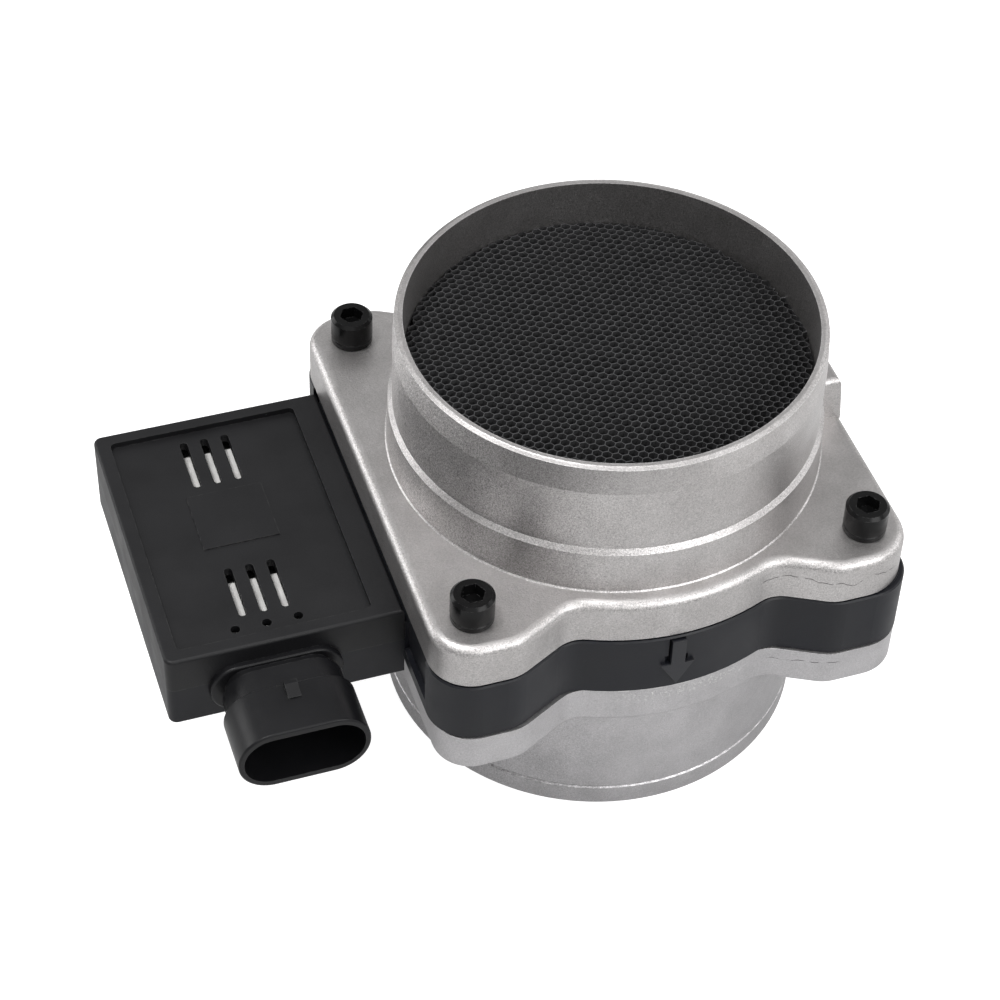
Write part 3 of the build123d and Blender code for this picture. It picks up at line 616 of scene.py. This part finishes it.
def bendFoil(bm, spec):
    # a slow wander over the whole screen, and bent cells next to the wall
    noise.seed_set(spec["seed"])
    shift = Vector((7, 3, 5))
    for v in bm.verts:
        slow = noise.noise_vector(v.co / spec["wave"])
        quick = noise.noise_vector(v.co / spec["crushWave"] + shift)
        near = (v.co.xy.length - spec["radius"]) / spec["crushBand"] + 1
        near = min(max(near, 0), spec["crushMost"])
        near *= spec["crushFront"] + spec["crushSides"] * abs(v.co.x) / spec["radius"]
        push = slow * spec["wander"] + quick * spec["crush"] * near ** 1.5
        v.co.x += push.x
        v.co.y += push.y
        v.co.z -= spec["crush"] * near ** 2 * (1.0 + quick.z)


def pressToWall(bm, radius, spare):
    outside = [v for v in bm.verts if v.co.xy.length > radius + spare]
    bmesh.ops.delete(bm, geom=outside, context="VERTS")
    for v in bm.verts:
        squeeze = min(radius / v.co.xy.length, 1) if v.co.xy.length else 1
        v.co.x *= squeeze
        v.co.y *= squeeze


def sinkFoil(bm, level, depth):
    # the sheet of edges becomes foil of the screen's full depth
    top = bm.faces[:]
    bmesh.ops.recalc_face_normals(bm, faces=top)
    lifted = bmesh.ops.extrude_face_region(bm, geom=top)["geom"]
    upper = [v for v in lifted if isinstance(v, bmesh.types.BMVert)]
    bmesh.ops.translate(bm, vec=(0, 0, level), verts=bm.verts[:])
    for v in set(bm.verts) - set(upper):
        v.co.z = level - depth


makeScreen(screen)


studio = {
    "floorSize": 6.0,
    "floorColour": (0.50, 0.50, 0.50),
    "floorGlow": 0.88,     # what the camera sees on top of the lit floor
    "floorShine": 0.18,    # the same, in metal and gloss
    "skyLow": 0.43,
    "skyHigh": 1.30,
    "skyTilt": 0.45,       # the bright part of the sky leans to the front
    "skyRise": (0.66, 0.92),
    "skySide": 0.10,
    "skyBack": 0.08,
    "lamps": (
        # name, place (m), aimed at (m), size (m), watts
        ("topBox", (-0.34, 0.0, 1.00), (-0.09, 0.0, 0.06), (0.14, 0.14), 4.8),
        ("rightBox", (0.62, -0.06, 0.30), (0.05, 0.0, 0.04), (0.50, 0.36), 0.85),
        ("leftBackBox", (-0.66, 0.58, 0.30), (0.0, 0.0, 0.08), (0.50, 0.34), 1.8),
        ("frontBox", (0.32, -0.62, 0.54), (0.10, -0.20, 0.0), (0.50, 0.40), 2.4),
    ),
}


def makeFloor(spec):
    bm = bmesh.new()
    bmesh.ops.create_grid(bm, x_segments=1, y_segments=1, size=spec["floorSize"] / 2)
    mesh = bpy.data.meshes.new("floor")
    bm.to_mesh(mesh)
    bm.free()
    floor = bpy.data.objects.new("floor", mesh)
    bpy.context.scene.collection.objects.link(floor)
    mat = bpy.data.materials.new("paleFloor")
    mat.use_nodes = True
    tree = mat.node_tree
    tree.nodes.clear()
    out = tree.nodes.new("ShaderNodeOutputMaterial")
    plain = tree.nodes.new("ShaderNodeBsdfDiffuse")
    feed(tree, plain.inputs["Color"], spec["floorColour"])
    glow = tree.nodes.new("ShaderNodeEmission")
    path = tree.nodes.new("ShaderNodeLightPath").outputs
    shine = maths(tree, "MAXIMUM", path["Is Glossy Ray"], path["Is Transmission Ray"])
    shine = times(tree, shine, spec["floorShine"])
    seen = times(tree, path["Is Camera Ray"], spec["floorGlow"])
    tree.links.new(maths(tree, "ADD", seen, shine), glow.inputs["Strength"])
    both = tree.nodes.new("ShaderNodeAddShader")
    tree.links.new(plain.outputs[0], both.inputs[0])
    tree.links.new(glow.outputs[0], both.inputs[1])
    tree.links.new(both.outputs[0], out.inputs["Surface"])
    mesh.materials.append(mat)


def makeWorld(spec):
    world = bpy.data.worlds.new("studio")
    bpy.context.scene.world = world
    world.use_nodes = True
    tree = world.node_tree
    tree.nodes.clear()
    out = tree.nodes.new("ShaderNodeOutputWorld")
    back = tree.nodes.new("ShaderNodeBackground")
    x, y, z = splitXYZ(tree, tree.nodes.new("ShaderNodeTexCoord").outputs["Generated"])
    high = maths(tree, "SUBTRACT", z, times(tree, y, spec["skyTilt"]))
    level = remap(tree, high, *spec["skyRise"], spec["skyLow"], spec["skyHigh"])
    level = maths(tree, "ADD", level, times(tree, x, spec["skySide"]))
    level = maths(tree, "ADD", level, times(tree, y, spec["skyBack"]))
    path = tree.nodes.new("ShaderNodeLightPath").outputs
    level = maths(tree, "MAXIMUM", level, path["Is Camera Ray"])
    tree.links.new(greyOf(tree, level), back.inputs["Color"])
    back.inputs["Strength"].default_value = 1.0
    tree.links.new(back.outputs[0], out.inputs["Surface"])


def makeLamps(spec):
    for name, place, target, size, watts in spec["lamps"]:
        data = bpy.data.lights.new(name, "AREA")
        data.shape = "RECTANGLE"
        data.size, data.size_y = size
        data.energy = watts
        lamp = bpy.data.objects.new(name, data)
        aim = Vector(target) - Vector(place)
        lamp.rotation_mode = "QUATERNION"
        lamp.rotation_quaternion = aim.to_track_quat("-Z", "Y")
        lamp.location = place
        bpy.context.scene.collection.objects.link(lamp)


cameraSpec = {
    "place": (-0.1773, -0.4199, 0.5148),
    "azimuth": -19.93958,
    "elevation": 45.54842,
    "roll": 2.27685,
    "focal": 2704.908,     # in pixels of the picture
    "picture": 1000,       # its width in pixels
    "sensor": 36.0,
    "clip": (0.01, 20.0),
}


def makeCamera(spec):
    az, el, roll = (math.radians(spec[k]) for k in ("azimuth", "elevation", "roll"))
    back = Vector((math.sin(az) * math.cos(el), -math.cos(az) * math.cos(el), math.sin(el)))
    right = (-back).cross(Vector((0, 0, 1))).normalized()
    down = (-back).cross(right)
    c, s = math.cos(roll), math.sin(roll)
    rowX = c * right - s * down
    rowY = s * right + c * down
    turn = Matrix((rowX, -rowY, back)).transposed().to_4x4()
    data = bpy.data.cameras.new("camera")
    data.sensor_width = spec["sensor"]
    data.lens = spec["focal"] * spec["sensor"] / spec["picture"]
    data.clip_start, data.clip_end = spec["clip"]
    cam = bpy.data.objects.new("camera", data)
    cam.matrix_world = Matrix.Translation(Vector(spec["place"])) @ turn
    bpy.context.scene.collection.objects.link(cam)
    bpy.context.scene.camera = cam


makeFloor(studio)
makeWorld(studio)
makeLamps(studio)
makeCamera(cameraSpec)
bpy.context.scene.view_settings.view_transform = "Standard"
print("studio ready")
